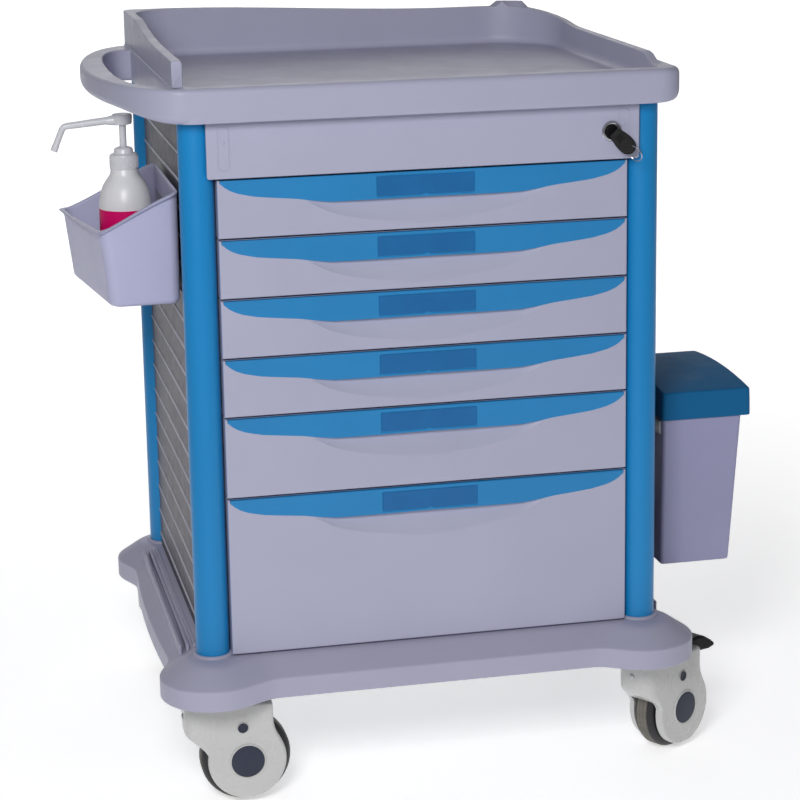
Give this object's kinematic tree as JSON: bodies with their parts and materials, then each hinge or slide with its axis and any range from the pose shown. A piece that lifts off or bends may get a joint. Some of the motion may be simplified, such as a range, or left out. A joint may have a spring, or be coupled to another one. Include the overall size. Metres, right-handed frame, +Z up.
{
  "type": "ward trolley",
  "caption": "Drawer trolley on swivel casters with tray top, side push handle, lock, hanging bin with pump bottle and lidded waste bin.",
  "frame": {"origin": "middle of the footprint of the bounding box, on the floor", "axes": "+Z up, drawers open towards -Y, the push handle is on the -X side and the waste bin on the +X side"},
  "size_m": [0.8742, 0.609, 0.9295],
  "materials": {
    "lilac_abs": "satin moulded ABS, pale lilac grey",
    "blue_abs": "satin moulded ABS, blue",
    "blue_painted_metal": "blue powder coat on an aluminium tube",
    "slate_panel": "matt dark grey, pale ledges",
    "zinc_steel": "zinc-plated steel",
    "black_plastic": "matt black",
    "fork_grey": "pale grey moulded nylon",
    "tyre_rubber": "dark rubber tread on a plastic core",
    "white_plastic": "glossy white polypropylene",
    "lid_blue": "satin dark blue polypropylene"
  },
  "bodies": {
    "cabinet": {"base_moulding": "lilac_abs", "base_plate": "zinc_steel", "column_front_left": "blue_painted_metal", "column_front_right": "blue_painted_metal", "column_rear_left": "blue_painted_metal", "column_rear_right": "blue_painted_metal", "side_panel_left": "slate_panel", "side_panel_right": "slate_panel", "back_panel": "slate_panel", "runner_rack_left": "zinc_steel", "runner_rack_right": "zinc_steel", "top_tray": "lilac_abs", "front_top_panel": "lilac_abs", "lock_housing": "black_plastic", "hanging_bin": "lilac_abs", "hanging_bin_bracket": "zinc_steel", "waste_bin": "lilac_abs", "waste_bracket": "zinc_steel", "caster_front_left_stem": "zinc_steel", "caster_front_right_stem": "zinc_steel", "caster_rear_left_stem": "zinc_steel", "caster_rear_right_stem": "zinc_steel"},
    "lock": {"lock_plug": "zinc_steel", "key": "black_plastic", "key_ring": "zinc_steel"},
    "lock_bar": {"lock_bar": "zinc_steel"},
    "lid": {"waste_lid": "lid_blue"},
    "bottle": {"bottle": "white_plastic", "pump_collar": "white_plastic"},
    "pump": {"pump_head": "white_plastic"},
    "drawer_1": {"drawer_1_front": "lilac_abs", "drawer_1_handle": "blue_abs", "drawer_1_box": "lilac_abs"},
    "drawer_2": {"drawer_2_front": "lilac_abs", "drawer_2_handle": "blue_abs", "drawer_2_box": "lilac_abs"},
    "drawer_3": {"drawer_3_front": "lilac_abs", "drawer_3_handle": "blue_abs", "drawer_3_box": "lilac_abs"},
    "drawer_4": {"drawer_4_front": "lilac_abs", "drawer_4_handle": "blue_abs", "drawer_4_box": "lilac_abs"},
    "drawer_5": {"drawer_5_front": "lilac_abs", "drawer_5_handle": "blue_abs", "drawer_5_box": "lilac_abs"},
    "drawer_6": {"drawer_6_front": "lilac_abs", "drawer_6_handle": "blue_abs", "drawer_6_box": "lilac_abs"},
    "swivel_front_left": {"caster_front_left_fork": "fork_grey"},
    "wheel_front_left": {"caster_front_left_wheel": "tyre_rubber"},
    "swivel_front_right": {"caster_front_right_fork": "fork_grey"},
    "wheel_front_right": {"caster_front_right_wheel": "tyre_rubber"},
    "pedal_front_right": {"caster_front_right_pedal": "black_plastic"},
    "swivel_rear_left": {"caster_rear_left_fork": "fork_grey"},
    "wheel_rear_left": {"caster_rear_left_wheel": "tyre_rubber"},
    "pedal_rear_left": {"caster_rear_left_pedal": "black_plastic"},
    "swivel_rear_right": {"caster_rear_right_fork": "fork_grey"},
    "wheel_rear_right": {"caster_rear_right_wheel": "tyre_rubber"}
  },
  "joints": [
    {"name": "drawer_1_slide", "type": "slide", "parent": "cabinet", "child": "drawer_1", "axis": [0, -1, 0], "range_m": [0, 0.32]},
    {"name": "drawer_2_slide", "type": "slide", "parent": "cabinet", "child": "drawer_2", "axis": [0, -1, 0], "range_m": [0, 0.32]},
    {"name": "drawer_3_slide", "type": "slide", "parent": "cabinet", "child": "drawer_3", "axis": [0, -1, 0], "range_m": [0, 0.32]},
    {"name": "drawer_4_slide", "type": "slide", "parent": "cabinet", "child": "drawer_4", "axis": [0, -1, 0], "range_m": [0, 0.32]},
    {"name": "drawer_5_slide", "type": "slide", "parent": "cabinet", "child": "drawer_5", "axis": [0, -1, 0], "range_m": [0, 0.32]},
    {"name": "drawer_6_slide", "type": "slide", "parent": "cabinet", "child": "drawer_6", "axis": [0, -1, 0], "range_m": [0, 0.32]},
    {"name": "lock_turn", "type": "hinge", "parent": "cabinet", "child": "lock", "pos_m": [0.2176, -0.2558, 0.812], "axis": [0, 1, 0], "range_deg": [-90, 0]},
    {"name": "lock_bar_lift", "type": "slide", "parent": "cabinet", "child": "lock_bar", "axis": [0, 0, -1], "range_m": [-0.012, 0]},
    {"name": "caster_front_left_swivel", "type": "hinge", "parent": "cabinet", "child": "swivel_front_left", "pos_m": [-0.2919, -0.2295, 0.134], "axis": [0, 0, 1], "continuous": true},
    {"name": "caster_front_left_roll", "type": "hinge", "parent": "swivel_front_left", "child": "wheel_front_left", "pos_m": [-0.2449, -0.2295, 0.056], "axis": [0, 1, 0], "continuous": true},
    {"name": "caster_front_right_swivel", "type": "hinge", "parent": "cabinet", "child": "swivel_front_right", "pos_m": [0.2741, -0.2295, 0.134], "axis": [0, 0, 1], "continuous": true},
    {"name": "caster_front_right_roll", "type": "hinge", "parent": "swivel_front_right", "child": "wheel_front_right", "pos_m": [0.31352, -0.2039, 0.056], "axis": [-0.5446, 0.8387, 0], "continuous": true},
    {"name": "caster_front_right_brake", "type": "hinge", "parent": "swivel_front_right", "child": "pedal_front_right", "pos_m": [0.33281, -0.19138, 0.1235], "axis": [-0.5446, 0.8387, 0], "range_deg": [0, 12]},
    {"name": "caster_rear_left_swivel", "type": "hinge", "parent": "cabinet", "child": "swivel_rear_left", "pos_m": [-0.2919, 0.2295, 0.134], "axis": [0, 0, 1], "continuous": true},
    {"name": "caster_rear_left_roll", "type": "hinge", "parent": "swivel_rear_left", "child": "wheel_rear_left", "pos_m": [-0.24536, 0.23604, 0.056], "axis": [-0.1392, 0.9903, 0], "continuous": true},
    {"name": "caster_rear_left_brake", "type": "hinge", "parent": "swivel_rear_left", "child": "pedal_rear_left", "pos_m": [-0.22258, 0.23924, 0.1235], "axis": [-0.1392, 0.9903, 0], "range_deg": [0, 12]},
    {"name": "caster_rear_right_swivel", "type": "hinge", "parent": "cabinet", "child": "swivel_rear_right", "pos_m": [0.2741, 0.2295, 0.134], "axis": [0, 0, 1], "continuous": true},
    {"name": "caster_rear_right_roll", "type": "hinge", "parent": "swivel_rear_right", "child": "wheel_rear_right", "pos_m": [0.31827, 0.24557, 0.056], "axis": [-0.342, 0.9397, 0], "continuous": true},
    {"name": "waste_lid_hinge", "type": "hinge", "parent": "cabinet", "child": "lid", "pos_m": [0.3136, -0.0505, 0.4225], "axis": [0, -1, 0], "range_deg": [0, 85]},
    {"name": "bottle_lift", "type": "slide", "parent": "cabinet", "child": "bottle", "axis": [0, 0, 1], "range_m": [0, 0.015]},
    {"name": "pump_press", "type": "slide", "parent": "bottle", "child": "pump", "axis": [0, 0, -1], "range_m": [0, 0.016], "stiffness_N_per_m": 80, "springref_m": -0.012}
  ],
  "couplings": [
    {"joint": "lock_turn", "follows": "lock_bar_lift", "rad_per_m": 130.67}
  ]
}
